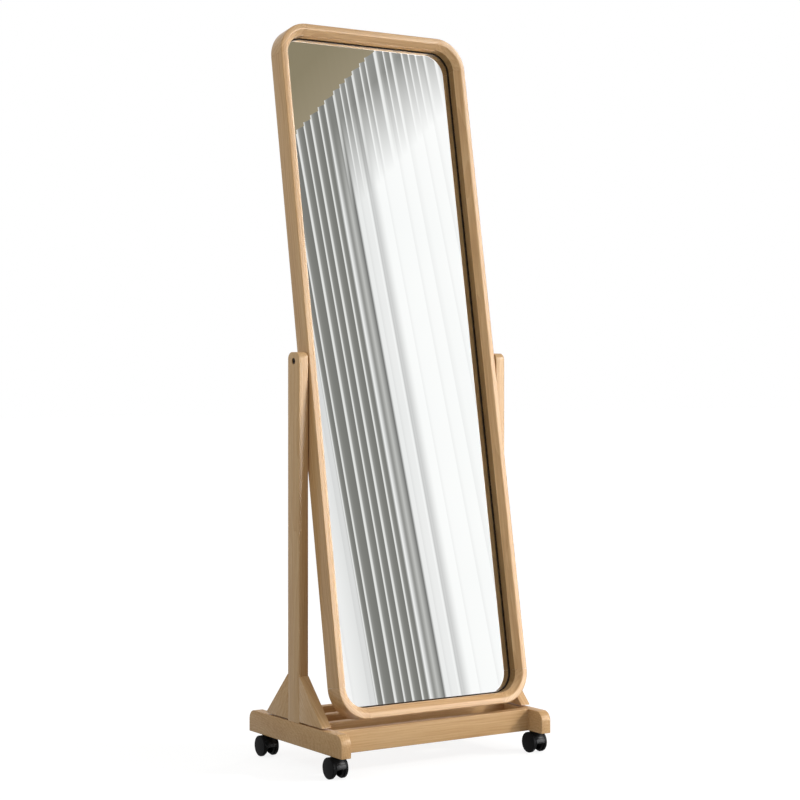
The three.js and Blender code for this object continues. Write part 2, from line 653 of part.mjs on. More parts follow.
// The cross rails, evenly spaced from front to rear
const crossRailGeometry = crossRail();
for (let index = 0; index < RAIL_COUNT; index += 1) {
  const y = firstRail + ((lastRail - firstRail) * index) / (RAIL_COUNT - 1);
  place(model, `cross_rail_${index + 1}`, crossRailGeometry, oak, [0, y, footBottom]);
}

// The casters, all trailing towards the front. Each one's group is on its stem, under the foot.
const stemGeometry = casterStem();
const hoodGeometry = casterHood();
const wheelGeometry = casterWheel();
const axleGeometry = rodX(AXLE_RADIUS, -axleHalf, axleHalf);
for (const [side, outwards] of [['left', -1], ['right', 1]]) {
  for (const [end, rearwards] of [['front', -1], ['rear', 1]]) {
    const caster = new THREE.Group();
    caster.position.set(outwards * footMiddle, rearwards * stemOffset, footBottom);
    model.add(caster);
    const corner = `${end}_${side}`;
    const axle = [0, -CASTER_TRAIL, -axleDrop];
    place(caster, `caster_stem_${corner}`, stemGeometry, zincSteel);
    place(caster, `caster_hood_${corner}`, hoodGeometry, blackPlastic, axle);
    place(caster, `caster_axle_${corner}`, axleGeometry, zincSteel, axle);
    for (const [which, faces] of [['outer', outwards], ['inner', -outwards]]) {
      const turn = [0, 0, faces > 0 ? 0 : Math.PI];
      place(caster, `caster_wheel_${which}_${corner}`, wheelGeometry, blackPlastic, axle, turn);
    }
  }
}

export default model;
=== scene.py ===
# The looks of a rolling floor mirror: a moulded oak frame with a silvered glass tilts between two
# oak posts, on a base of two feet and four cross rails with a black twin-wheel caster at each
# corner. Metres throughout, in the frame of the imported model.

import math
import random

import bmesh
import bpy
from mathutils import Euler, Matrix, Vector


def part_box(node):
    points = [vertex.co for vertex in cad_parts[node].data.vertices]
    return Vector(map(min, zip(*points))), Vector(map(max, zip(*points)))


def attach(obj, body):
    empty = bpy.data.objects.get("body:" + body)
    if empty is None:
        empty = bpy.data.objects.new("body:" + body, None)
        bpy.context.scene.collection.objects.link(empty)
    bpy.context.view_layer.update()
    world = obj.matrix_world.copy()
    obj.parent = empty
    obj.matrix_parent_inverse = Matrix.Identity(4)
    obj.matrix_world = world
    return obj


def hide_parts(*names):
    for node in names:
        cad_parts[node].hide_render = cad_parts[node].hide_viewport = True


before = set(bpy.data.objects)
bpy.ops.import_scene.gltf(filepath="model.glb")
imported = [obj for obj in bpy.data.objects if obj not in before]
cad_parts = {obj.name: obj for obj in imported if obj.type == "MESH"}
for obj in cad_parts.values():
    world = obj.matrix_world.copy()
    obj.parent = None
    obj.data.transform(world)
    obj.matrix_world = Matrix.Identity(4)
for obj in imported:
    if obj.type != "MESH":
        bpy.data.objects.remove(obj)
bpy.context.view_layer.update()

# ---------------------------------------------------------------------------- the moulded frame
# Solid oak bars, all run through the same spindle moulder: a flat land, a wide chamfer, a square
# inner wall, and a rebate behind for the glass. They are glued to four turned corner blocks of the
# same section, sanded flush and lacquered, so only a hairline shows at each joint.

FRAME_WIDTH = 0.475
FRAME_LENGTH = 1.4745
FRAME_MIDDLE = -0.00525  # middle of the frame's length, from the tilt axis
FRAME_DEPTH = 0.046
FRONT = -0.022  # the land's face, from the tilt axis
TILT = math.radians(10)
BLOCK_RADIUS = 0.068
JOINT_GAP = 0.0003
LAND = 0.0121
CHAMFER_BACK = 0.0118
LIP_IN, LIP_BACK = 0.0231, 0.0311
REBATE_IN = 0.0155
INSERT_HOLE, INSERT_DEPTH = 0.0056, 0.0146  # the threaded insert's hole in each stile
HAIR = 0.00002  # what counts as on a line when picking
CLEAR = 0.01  # how far outside the wood a drill starts

axis_low, axis_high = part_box("pivot_bolt_left")
AXIS_HEIGHT = (axis_low.z + axis_high.z) / 2
mirror_place = Matrix.Translation((0, 0, AXIS_HEIGHT)) @ Matrix.Rotation(-TILT, 4, "X")
frame_place = mirror_place @ Matrix.Translation((0, 0, FRAME_MIDDLE))


def clear_selection():
    bpy.ops.object.select_all(action="DESELECT")


def take(piece):
    """Makes the piece the only one that operators act on."""
    clear_selection()
    piece.select_set(True)
    bpy.context.view_layer.objects.active = piece


def start(name, place=(0, 0, 0), size=(1, 1, 1)):
    """Names the primitive that was just added and gives it its size and place."""
    piece = bpy.context.object
    piece.name = piece.data.name = name
    piece.scale = size
    piece.location = place
    bpy.ops.object.transform_apply(location=True, rotation=True, scale=True)
    return piece


def select_mesh():
    bpy.ops.mesh.select_all(action="SELECT")


def open_mesh():
    """Goes into edit mode with everything selected."""
    bpy.ops.object.mode_set(mode="EDIT")
    select_mesh()


def close_mesh():
    bpy.ops.object.mode_set(mode="OBJECT")


def face_outwards():
    select_mesh()
    bpy.ops.mesh.normals_make_consistent(inside=False)


def extrude(*way):
    bpy.ops.mesh.extrude_region_move(TRANSFORM_OT_translate={"value": way})


def pick(piece, kind, wanted):
    """In edit mode, selects the vertices or edges whose middle passes the test."""
    bpy.ops.mesh.select_mode(type=kind)
    bpy.ops.mesh.select_all(action="DESELECT")
    mesh = bmesh.from_edit_mesh(piece.data)
    for part in mesh.verts if kind == "VERT" else mesh.edges:
        corners = [part] if kind == "VERT" else list(part.verts)
        middle = sum((corner.co for corner in corners), Vector()) / len(corners)
        if wanted(middle, part):
            part.select_set(True)
    mesh.select_flush_mode()
    bmesh.update_edit_mesh(piece.data)


def settle(piece, place):
    """Moves a finished piece into the model and puts its place into its mesh."""
    take(piece)
    piece.matrix_world = place
    bpy.ops.object.transform_apply(location=True, rotation=True, scale=True)


def smooth(piece, degrees=32):
    take(piece)
    bpy.ops.object.shade_smooth_by_angle(angle=math.radians(degrees))


def copy_of(piece, name):
    other = piece.copy()
    other.data = piece.data.copy()
    other.name = other.data.name = name
    bpy.context.scene.collection.objects.link(other)
    return other


def moulding(name, outer_side):
    """The moulding's section as one flat face, with its outer side at x = outer_side."""
    clear_selection()
    bpy.ops.mesh.primitive_plane_add(size=1)
    middle = (outer_side - REBATE_IN / 2, FRONT + FRAME_DEPTH / 2, 0)
    face = start(name, middle, (REBATE_IN, FRAME_DEPTH, 1))
    rebate, lip = outer_side - REBATE_IN, outer_side - LIP_IN
    wall_start, shoulder = FRONT + CHAMFER_BACK, FRONT + LIP_BACK
    open_mesh()
    bpy.ops.mesh.bisect(plane_co=(0, shoulder, 0), plane_no=(0, 1, 0))
    pick(face, "EDGE", lambda at, _: at.x < rebate + HAIR and at.y < shoulder - HAIR)
    extrude(lip - rebate, 0, 0)
    select_mesh()
    bpy.ops.mesh.bisect(plane_co=(0, wall_start, 0), plane_no=(0, 1, 0))
    # The two inner front corners slide out to the land's edge
    for corner in (rebate, lip):
        pick(face, "VERT", lambda at, _: abs(at.x - corner) < HAIR and at.y < FRONT + HAIR)
        bpy.ops.transform.translate(value=(outer_side - LAND - corner, 0, 0))
    select_mesh()
    bpy.ops.mesh.remove_doubles(threshold=HAIR)
    bpy.ops.mesh.dissolve_limited(angle_limit=math.radians(1))
    # The cutter's roundings: outer edges, land to chamfer, chamfer to wall, and the lip
    roundings = [
        ((outer_side, FRONT), 0.002, 5),
        ((outer_side, FRONT + FRAME_DEPTH), 0.002, 5),
        ((outer_side - LAND, FRONT), 0.0022, 6),
        ((lip, wall_start), 0.0014, 4),
        ((lip, shoulder), 0.0006, 3),
    ]
    for (x, y), reach, segments in roundings:
        pick(face, "VERT", lambda at, _: abs(at.x - x) < HAIR and abs(at.y - y) < HAIR)
        bpy.ops.mesh.bevel(offset=reach, segments=segments, affect="VERTICES")
    close_mesh()
    return face


def drill(piece, radius, from_point, to_point, sides=48):
    """Cuts a round hole from one point to another."""
    clear_selection()
    from_point, to_point = Vector(from_point), Vector(to_point)
    along = to_point - from_point
    turn = along.to_track_quat("Z", "Y").to_euler()
    bpy.ops.mesh.primitive_cylinder_add(
        vertices=sides, radius=radius, depth=along.length,
        location=(from_point + to_point) / 2, rotation=turn,
    )
    bit = bpy.context.object
    hole = piece.modifiers.new("hole", "BOOLEAN")
    hole.operation = "DIFFERENCE"
    hole.solver = "EXACT"
    hole.object = bit
    take(piece)
    bpy.ops.object.modifier_apply(modifier=hole.name)
    bpy.data.objects.remove(bit)


def colour(code):
    """The linear colour of an sRGB hex value."""
    parts = [int(code[at:at + 2], 16) / 255 for at in (1, 3, 5)]
    return tuple(p / 12.92 if p <= 0.04045 else ((p + 0.055) / 1.055) ** 2.4 for p in parts) + (1,)


def new_material(name, **sockets):
    """A material of that name, with the constants set on its Principled shader."""
    material = bpy.data.materials.new(name)
    material.use_nodes = True
    shader = material.node_tree.nodes["Principled BSDF"]
    for socket, value in sockets.items():
        shader.inputs[socket.replace("_", " ")].default_value = value
    return material, material.node_tree, shader


def add(tree, kind, inputs=(), **settings):
    """Adds a node with its settings. Each input is a constant or another node's output."""
    node = tree.nodes.new("ShaderNode" + kind)
    for key, value in settings.items():
        setattr(node, key, value)
    for key, value in dict(inputs).items():
        if isinstance(value, bpy.types.NodeSocket):
            tree.links.new(value, node.inputs[key])
        else:
            node.inputs[key].default_value = value
    return node


def calc(tree, operation, *parts):
    """The result of a sum whose parts are numbers or outputs."""
    return add(tree, "Math", enumerate(parts), operation=operation).outputs[0]


def mix(tree, share, first, second, way="MIX"):
    """Two colours mixed, with that share of the second."""
    return add(tree, "Mix", {0: share, 6: first, 7: second}, data_type="RGBA",
               blend_type=way).outputs[2]


def spread(tree, source, low, high, since=0.0, until=1.0):
    """The range from since to until, mapped onto low to high."""
    return add(tree, "MapRange", {
        "Value": source, "From Min": since, "From Max": until, "To Min": low, "To Max": high,
    }).outputs["Result"]


def object_point(tree):
    """Where on the object a material is."""
    return add(tree, "TexCoord").outputs["Object"]


def wave_scale(pitch):
    """The Wave texture's scale for bands that far apart."""
    return 2 * math.pi / (20 * pitch)


def noise(tree, point, scale, detail=2.0):
    return add(tree, "TexNoise", {
        "Vector": point, "Scale": scale, "Detail": detail}).outputs["Fac"]


def emboss(tree, shader, height, strength, distance):
    """Gives the shader's surface a fine relief."""
    relief = add(tree, "Bump", {"Height": height, "Strength": strength, "Distance": distance})
    tree.links.new(relief.outputs["Normal"], shader.inputs["Normal"])


def ramp(tree, source, stops):
    """A colour ramp with the given (position, colour) stops."""
    node = add(tree, "ValToRGB", {"Fac": source})
    elements = node.color_ramp.elements
    while len(elements) < len(stops):
        elements.new(0.5)
    for element, (position, value) in zip(elements, stops):
        element.position, element.color = position, value
    return node.outputs["Color"]


def grey(value):
    return (value, value, value, 1)


def lacquered_oak(name, turn, centre, tone=0.0, gloss=1.0, shade="#ffffff"):
    """Plain-sawn pale oak under a satin clear lacquer. Its grain runs along the board's length,
    which the turn brings from Z. Late wood bands about 5 mm apart give soft stripes, pores give
    fine darker dashes, and the lacquer gives an even, slightly glossy skin."""
    material, tree, shader = new_material(name, IOR=1.5, Specular_IOR_Level=0.13 * gloss,
                                          Coat_Weight=0.34 * gloss, Coat_Roughness=0.2)
    # Board coordinates in millimetres, with Z along the grain
    board = add(tree, "Mapping", {
        "Vector": object_point(tree), "Location": centre, "Rotation": turn,
        "Scale": (0.001, 0.001, 0.001)}, vector_type="TEXTURE").outputs["Vector"]

    def stretched(across, along, detail, seed):
        """Noise whose features are so many millimetres wide and long."""
        scaled = add(tree, "Mapping", {
            "Vector": board, "Location": (seed, seed / 2, -seed),
            "Scale": (1 / across, 1 / across, 1 / along)}).outputs["Vector"]
        return noise(tree, scaled, 1.0, detail)

    # The heart of the tree lies 70 mm beside the board and wanders by some millimetres
    slow = add(tree, "Mapping", {"Vector": board, "Scale": (1 / 60, 1 / 60, 1 / 320)})
    wander = add(tree, "TexNoise", {"Vector": slow.outputs["Vector"], "Scale": 1.0})
    drift = add(tree, "VectorMath", {0: wander.outputs["Color"], 1: (30, 30, 0)},
                operation="MULTIPLY").outputs[0]
    heart = add(tree, "VectorMath", {0: board, 1: drift}, operation="ADD").outputs[0]
    heart = add(tree, "VectorMath", {0: heart, 1: (70, 34, 0)}, operation="ADD").outputs[0]
    bands = add(tree, "TexWave", {
        "Vector": heart, "Scale": wave_scale(5.5), "Distortion": 0.7, "Detail": 1.0,
        "Detail Scale": 0.3,
    }, wave_type="RINGS", rings_direction="Z", wave_profile="SAW").outputs["Fac"]
    streaks = stretched(3.2, 170, 3.0, 11)
    fibres = stretched(1.3, 60, 2.0, 23)
    tones = stretched(48, 420, 1.0, 37)
    # Real pores are 0.3 mm wide. They are drawn 1 mm wide, so that they show in a render.
    pores = ramp(tree, stretched(1.0, 16, 1.0, 5), [(0.60, grey(0)), (0.70, grey(1))])

    mixed = calc(tree, "MULTIPLY", bands, 0.2)
    for layer, share in ((streaks, 0.7), (fibres, 0.3), (tones, 0.5)):
        mixed = calc(tree, "MULTIPLY_ADD", layer, share, mixed)
    mixed = calc(tree, "ADD", mixed, tone - 0.35)
    wood = ramp(tree, mixed, [
        (0.10, colour("#dcba8d")), (0.42, colour("#d0ab7d")), (0.62, colour("#c79f70")),
        (0.92, colour("#b58a5b")),
    ])
    wood = mix(tree, calc(tree, "MULTIPLY", pores, 0.14), wood, colour("#9c7347"))
    # The shade multiplies the wood's colour: white leaves it as it is, anything darker is painted
    # shade.
    wood = mix(tree, 1.0, wood, colour(shade), "MULTIPLY")
    tree.links.new(wood, shader.inputs["Base Color"])
    tree.links.new(spread(tree, streaks, 0.42, 0.56), shader.inputs["Roughness"])
    emboss(tree, shader, calc(tree, "SUBTRACT", fibres, pores), 0.12, 0.00025)
    return material


def wear(piece, material):
    """Gives the piece its material."""
    piece.data.materials.clear()
    piece.data.materials.append(material)


def paint_wall_shade(piece, place, grain, is_wall, shade):
    """Gives the inner wall beside the glass a darker lacquered oak, as painted shade in the recess.
    """
    piece.data.materials.append(lacquered_oak(
        "Lacquered oak, wall of " + piece.name, turn=grain, centre=place.translation,
        gloss=0.1, shade=shade))
    home = place.inverted()
    for face in piece.data.polygons:
        face.material_index = 1 if is_wall(home @ face.center) else 0


# Painted shade for the inner wall: darker for the shade in the recess, less dark along the top rail
# as painted light reflected up from the glass.
PAINTED_WALL_SHADE, PAINTED_TOP_WALL_SHADE = "#a39d92", "#d2cabd"

# The members are drawn with their outer side on x = 0, facing +X, and are turned by quarters. Each
# has a tone of its own, a little darker than plain where it is above 0.
stile_length = FRAME_LENGTH - 2 * (BLOCK_RADIUS + JOINT_GAP)
rail_length = FRAME_WIDTH - 2 * (BLOCK_RADIUS + JOINT_GAP)
members = [
    ("frame_stile_right", stile_length, (FRAME_WIDTH / 2, 0, 0), 0.12),
    ("frame_rail_top", rail_length, (0, 0, FRAME_LENGTH / 2), 0.13),
    ("frame_stile_left", stile_length, (-FRAME_WIDTH / 2, 0, 0), 0.14),
    ("frame_rail_bottom", rail_length, (0, 0, -FRAME_LENGTH / 2), 0.20),
]
member_places = {}
for quarter, (node, length, side, tone) in enumerate(members):
    member = moulding(node + "_oak", 0)
    take(member)
    open_mesh()
    bpy.ops.transform.translate(value=(0, 0, -length / 2))
    extrude(0, 0, length)
    face_outwards()
    close_mesh()
    if "stile" in node:
        axis_along = FRAME_MIDDLE if "left" in node else -FRAME_MIDDLE
        drill(member, INSERT_HOLE, (-INSERT_DEPTH, 0, axis_along), (CLEAR, 0, axis_along))
    quarter_turn = Matrix.Rotation(-quarter * math.pi / 2, 4, "Y")
    place = frame_place @ Matrix.Translation(side) @ quarter_turn
    member_places[node] = place
    settle(member, place)
    smooth(member)
    grain = place.to_euler()
    wear(member, lacquered_oak(
        "Lacquered oak, " + node, turn=grain, centre=place.translation, tone=tone,
    ))
    # Painted shade on the inner wall, less dark along the top rail as painted light
    paint_wall_shade(member, place, grain, lambda at: at.x < HAIR - LIP_IN,
                PAINTED_TOP_WALL_SHADE if node == "frame_rail_top" else PAINTED_WALL_SHADE)
    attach(member, "mirror")
    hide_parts(node)

# A corner block is the section spun through a quarter circle, in 24 steps
block_x = FRAME_WIDTH / 2 - BLOCK_RADIUS
block_z = FRAME_LENGTH / 2 - BLOCK_RADIUS
# The bottom-left block is toned darker than the other blocks, as painted shade for its outer side,
# which faces down.
blocks = [("top_right", 1, 1, 0.08), ("top_left", -1, 1, 0.12),
          ("bottom_left", -1, -1, 0.16), ("bottom_right", 1, -1, 0.12)]
first_block = moulding("frame_block", BLOCK_RADIUS)
take(first_block)
open_mesh()
bpy.ops.mesh.spin(steps=24, angle=math.pi / 2, center=(0, 0, 0), axis=(0, 1, 0))
face_outwards()
close_mesh()
for quarter, (corner, right, up, tone) in enumerate(blocks):
    block = copy_of(first_block, f"frame_corner_{corner}_oak")
    quarter_turn = Matrix.Rotation(-quarter * math.pi / 2, 4, "Y")
    place = frame_place @ Matrix.Translation((right * block_x, 0, up * block_z)) @ quarter_turn
    settle(block, place)
    smooth(block)
    # The block's grain runs across the corner, square to its mitre
    across = (place @ Matrix.Rotation(math.radians(-45), 4, "Y")).to_euler()
    wear(block, lacquered_oak(
        f"Lacquered oak, {corner} block", turn=across, centre=place.translation, tone=tone,
    ))
    paint_wall_shade(block, place, across,
                lambda at: math.hypot(at.x, at.z) < BLOCK_RADIUS - LIP_IN + HAIR, PAINTED_WALL_SHADE)
    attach(block, "mirror")
    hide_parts("frame_corner_" + corner)
bpy.data.objects.remove(first_block)

# ------------------------------------------------------------------- glass, seal and backing board
# A 4 mm float glass, silvered behind, lies on a thin black rubber seal in the rebate. The seal's
# black
# is painted shade: it stands for the dark line of shade at the glass's edge. A 3 mm hardboard backs
# it.
# These sheets have their true outline, so they keep their solids.


def finish_node(node, material):
    """Gives its material to a sheet or a rod that keeps its solid."""
    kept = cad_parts[node]
    kept.data.materials.clear()
    kept.data.materials.append(material)


def silvered_glass():
    """Silver behind clear float glass: a perfect mirror with the faintest cool cast."""
    material, tree, shader = new_material("Silvered float glass", Metallic=1.0, Roughness=0.0)
    haze = noise(tree, object_point(tree), 3.0)
    cast = ramp(tree, haze, [(0.3, colour("#fdfefd")), (0.7, colour("#f9fbfa"))])
    tree.links.new(cast, shader.inputs["Base Color"])
    return material


def painted_shade_seal():
    """Black extruded rubber: dull, with a faint dusty mottle. Its near-black is painted shade, the
    dark line of shade at the glass's edge.
    """
    material, tree, shader = new_material(
        "Black rubber seal, painted shade", Roughness=0.7, Specular_IOR_Level=0.05)
    dust = noise(tree, object_point(tree), 220.0, 3.0)
    # Painted shade: the seal's dark browns stand for the shade at the glass's edge.
    black = ramp(tree, dust, [(0.3, colour("#271e16")), (0.75, colour("#3c3025"))])
    tree.links.new(black, shader.inputs["Base Color"])
    emboss(tree, shader, dust, 0.2, 0.0002)
    return material


def pressed_hardboard():
    """Brown pressed fibre board with its wire-screen side outwards: a dull mottled sheet with a
    woven print, drawn at 2 mm pitch, twice its real size, so that it shows."""
    material, tree, shader = new_material("Pressed hardboard", Roughness=0.82)
    point = object_point(tree)
    upright = add(tree, "Mapping", {"Vector": point, "Rotation": (TILT, 0, 0)}).outputs["Vector"]
    print_wave = {"Vector": upright, "Scale": wave_scale(0.002), "Distortion": 0.4}
    wires = [add(tree, "TexWave", print_wave, wave_type="BANDS", bands_direction=way).outputs["Fac"]
             for way in "XZ"]
    screen = calc(tree, "MAXIMUM", *wires)
    blend = calc(tree, "ADD", noise(tree, point, 90.0, 6.0), noise(tree, point, 6.0))
    blend = calc(tree, "MULTIPLY", blend, 0.4)
    blend = calc(tree, "MULTIPLY_ADD", screen, 0.2, blend)
    brown = ramp(tree, blend, [
        (0.3, colour("#77573a")), (0.5, colour("#8a6644")), (0.7, colour("#9a7655"))])
    tree.links.new(brown, shader.inputs["Base Color"])
    emboss(tree, shader, blend, 0.4, 0.0004)
    return material


finish_node("mirror_glass", silvered_glass())
finish_node("glass_seal", painted_shade_seal())
finish_node("backing_board", pressed_hardboard())

# ------------------------------------------------------------------------------- retaining clips
# Eight stepped clips of 1 mm zinc-plated steel hold the board in the rebate. Each is folded from a
# strip with rounded corners and fixed to the back of the frame with one pan-head screw.

CLIP_SHEET = 0.001
CLIP_WIDTH = 0.014
ON_FRAME, ON_BOARD = 0.0243, 0.0187  # clip's underside on the wood and on the board
CLIP_HEEL, CLIP_BEND, CLIP_TIP = -0.0045, -0.016, -0.031
CLIP_SLANT = 0.0008  # the step leans this far inwards
CLIP_CORNER, CLIP_FOLD = 0.003, 0.0009  # radii of its corners and of its folds
CLIP_FROM_END = 0.130  # the outer clips, from the end of their stile
SCREW_AT = -0.0100  # from the frame's outer side
SCREW_TOP = 0.0272
CROSS_LONG, CROSS_WIDE, CROSS_TALL = 0.0036, 0.0008, 0.0022


def plated_steel(name="Zinc-plated steel", light="#c3c6c9", dark="#9ea2a6", roughness=0.34):
    """A bright metal with faint cloudy patches: zinc plate, unless other colours are given."""
    material, tree, shader = new_material(name, Metallic=1.0, Roughness=roughness)
    cloud = noise(tree, object_point(tree), 160.0, 3.0)
    metal = ramp(tree, cloud, [(0.35, colour(light)), (0.7, colour(dark))])
    tree.links.new(metal, shader.inputs["Base Color"])
    matt = spread(tree, cloud, roughness - 0.06, roughness + 0.08)
    tree.links.new(matt, shader.inputs["Roughness"])
    return material


def start_point(name, at):
    """Starts a piece as a single vertex, and leaves it open."""
    clear_selection()
    bpy.ops.mesh.primitive_plane_add(size=1)
    piece = start(name)
    open_mesh()
    bpy.ops.mesh.select_mode(type="VERT")
    bpy.ops.mesh.merge(type="CENTER")
    bpy.ops.transform.translate(value=at)
    return piece


def turned(name, profile, steps=48):
    """A round piece about X: its half section is drawn point by point, then spun full circle."""
    radius, along = profile[0]
    piece = start_point(name, (along, 0, radius))
    for next_radius, next_along in profile[1:]:
        extrude(next_along - along, 0, next_radius - radius)
        radius, along = next_radius, next_along
    select_mesh()
    bpy.ops.mesh.spin(steps=steps, angle=2 * math.pi, center=(0, 0, 0), axis=(1, 0, 0))
    select_mesh()
    bpy.ops.mesh.remove_doubles(threshold=0.000005)
    face_outwards()
    close_mesh()
    return piece


zinc = plated_steel()

clear_selection()
bpy.ops.mesh.primitive_plane_add(size=1)
strip = start("clip_strip", ((CLIP_HEEL + CLIP_BEND) / 2, ON_FRAME, 0),
              (CLIP_HEEL - CLIP_BEND, CLIP_WIDTH, 1))
open_mesh()
bpy.ops.transform.rotate(value=math.pi / 2, orient_axis="X", center_override=(0, ON_FRAME, 0))
pick(strip, "EDGE", lambda at, _: at.x < CLIP_BEND + HAIR)
extrude(-CLIP_SLANT, ON_BOARD - ON_FRAME, 0)
extrude(CLIP_TIP - CLIP_BEND + CLIP_SLANT, 0, 0)
pick(strip, "VERT", lambda at, _: at.x < CLIP_TIP + HAIR or at.x > CLIP_HEEL - HAIR)
bpy.ops.mesh.bevel(offset=CLIP_CORNER, segments=5, affect="VERTICES")
pick(strip, "EDGE", lambda at, part: (
    abs(at.z) < HAIR and CLIP_TIP + 0.001 < at.x < CLIP_BEND + HAIR
    and abs(part.verts[0].co.x - part.verts[1].co.x) < HAIR))
bpy.ops.mesh.bevel(offset=CLIP_FOLD, segments=4, affect="EDGES")
close_mesh()
thickness = strip.modifiers.new("sheet", "SOLIDIFY")
thickness.thickness = CLIP_SHEET
thickness.offset = 1 if strip.data.polygons[0].normal.y > 0 else -1
take(strip)
bpy.ops.object.modifier_apply(modifier="sheet")

screw_head = turned("clip_screw", [
    (0, 0.0253), (0.0032, 0.0253), (0.0032, 0.0257), (0.00305, 0.0263), (0.0026, 0.0268),
    (0.0017, 0.02712), (0, SCREW_TOP),
], 32)
take(screw_head)
open_mesh()
bpy.ops.transform.rotate(value=math.pi / 2, orient_axis="Z", center_override=(0, 0, 0))
close_mesh()
if min(corner.co.y for corner in screw_head.data.vertices) < 0:
    settle(screw_head, Matrix.Rotation(math.pi, 4, "Z"))
for long, wide in ((CROSS_LONG, CROSS_WIDE), (CROSS_WIDE, CROSS_LONG)):
    clear_selection()
    bpy.ops.mesh.primitive_cube_add(size=1)
    blade = start("blade", (0, SCREW_TOP, 0), (long, CROSS_TALL, wide))
    slotted = screw_head.modifiers.new("cross", "BOOLEAN")
    slotted.operation, slotted.solver, slotted.object = "DIFFERENCE", "EXACT", blade
    take(screw_head)
    bpy.ops.object.modifier_apply(modifier="cross")
    bpy.data.objects.remove(blade)

clip_reach = stile_length / 2 - CLIP_FROM_END
for node in sorted(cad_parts):
    if not node.startswith("back_clip"):
        continue
    member, index = node[len("back_clip_"):-2], int(node[-1])
    along = clip_reach * (index - 2) if "stile" in member else 0
    place = member_places["frame_" + member] @ Matrix.Translation((0, 0, along))
    clip = copy_of(strip, node + "_steel")
    settle(clip, place)
    smooth(clip, 40)
    wear(clip, zinc)
    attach(clip, "mirror")
    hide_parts(node)
    screw = copy_of(screw_head, node + "_screw")
    screwed_in = Matrix.Rotation(random.Random(node).uniform(0, math.pi), 4, "Y")
    settle(screw, place @ Matrix.Translation((SCREW_AT, 0, 0)) @ screwed_in)
    smooth(screw, 40)
    wear(screw, zinc)
    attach(screw, "mirror")
bpy.data.objects.remove(strip)
bpy.data.objects.remove(screw_head)

# ------------------------------------------------------------------------------------ tilt pivot
# A socket-head bolt goes through each post and a nylon spacer into a threaded brass insert in the
# stile. Its head lies in a counterbore, just below the post's outer face.

POST_OUTER = 0.2625
HEAD_SEAT = 0.0052  # below the post's outer face
BOLT_IN_STILE = 0.014
SPACER_IN, SPACER_OUT = 0.2378, 0.2402


def black_oxide():
    """Blackened steel: a dark, slightly oily satin metal that is paler where it was handled."""
    material, tree, shader = new_material("Black oxide steel", Metallic=1.0, Roughness=0.42)
    spots = noise(tree, object_point(tree), 420.0, 3.0)
    black = ramp(tree, spots, [(0.35, colour("#211a14")), (0.75, colour("#3a3129"))])
    tree.links.new(black, shader.inputs["Base Color"])
    return material


def moulded_nylon():
    """Natural nylon: milky white and waxy."""
    material, tree, shader = new_material(
        "Natural nylon", Roughness=0.5, Subsurface_Weight=0.15, Subsurface_Scale=0.002)
    mottle = noise(tree, object_point(tree), 300.0)
    milk = ramp(tree, mottle, [(0.3, colour("#e6e2d8")), (0.7, colour("#d9d4c8"))])
    tree.links.new(milk, shader.inputs["Base Color"])
    return material


oxide = black_oxide()
nylon = moulded_nylon()
turned_brass = plated_steel("Turned brass", "#c3a05a", "#a5823e", 0.3)


def socket_bolt(name, shank):
    """Seat at x = 0, head towards +X, with rounded rim and a hexagon socket."""
    bolt = turned(name, [
        (0, 0.004), (0.0054, 0.004), (0.0058, 0.0038), (0.006, 0.0034), (0.006, 0.0002),
        (0.0058, 0), (0.003, 0), (0.003, 0.0008 - shank), (0.0022, -shank), (0, -shank),
    ])
    drill(bolt, 0.0029, (0.0018, 0, 0), (0.006, 0, 0), sides=6)
    return bolt


for side, outwards in (("left", -1), ("right", 1)):
    facing = Matrix.Rotation(0 if outwards > 0 else math.pi, 4, "Z")
    seat = mirror_place @ Matrix.Translation((outwards * (POST_OUTER - HEAD_SEAT), 0, 0)) @ facing
    bolt = socket_bolt(f"pivot_bolt_{side}_steel",
                       POST_OUTER - HEAD_SEAT - FRAME_WIDTH / 2 + BOLT_IN_STILE)
    settle(bolt, seat)
    smooth(bolt)
    wear(bolt, oxide)
    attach(bolt, "mirror")
    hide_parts(f"pivot_bolt_{side}")
    spacer = turned(f"pivot_spacer_{side}_nylon", [
        (0.0033, SPACER_IN), (0.0088, SPACER_IN), (0.009, SPACER_IN + 0.0002),
        (0.009, SPACER_OUT - 0.0002), (0.0088, SPACER_OUT), (0.0033, SPACER_OUT),
        (0.0033, SPACER_IN),
    ])
    settle(spacer, mirror_place @ facing)
    smooth(spacer)
    wear(spacer, nylon)
    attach(spacer, "mirror")
    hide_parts(f"pivot_spacer_{side}")
    finish_node(f"pivot_insert_{side}", turned_brass)

# ---------------------------------------------------------------------------- posts and gussets
# Each post is a solid oak board on edge, planed, with its upper corners rounded and all its edges
# eased. A triangular gusset is dowelled to its front and its back, a little above the foot, so
# that a dark line shows under it. Each board's grain is turned a little, so no two are the same.

POST_TOP_RADIUS = 0.015
EASED = 0.0011
GUSSET_TOE = 0.0015  # thickness of a gusset's points
BOLT_HOLE, HEAD_HOLE = 0.0033, 0.007
HEAD_GAP = 0.0003  # behind a bolt's head


def board(name, node):
    """A block with the size and place of that solid."""
    low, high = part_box(node)
    clear_selection()
    bpy.ops.mesh.primitive_cube_add(size=1)
    return start(name, (low + high) / 2, high - low), low, high


def ease_edges(piece, radius=EASED, segments=3):
    easing = piece.modifiers.new("eased", "BEVEL")
    easing.width = radius
    easing.segments = segments
    easing.limit_method = "ANGLE"
    easing.angle_limit = math.radians(30)
    take(piece)
    bpy.ops.object.modifier_apply(modifier="eased")


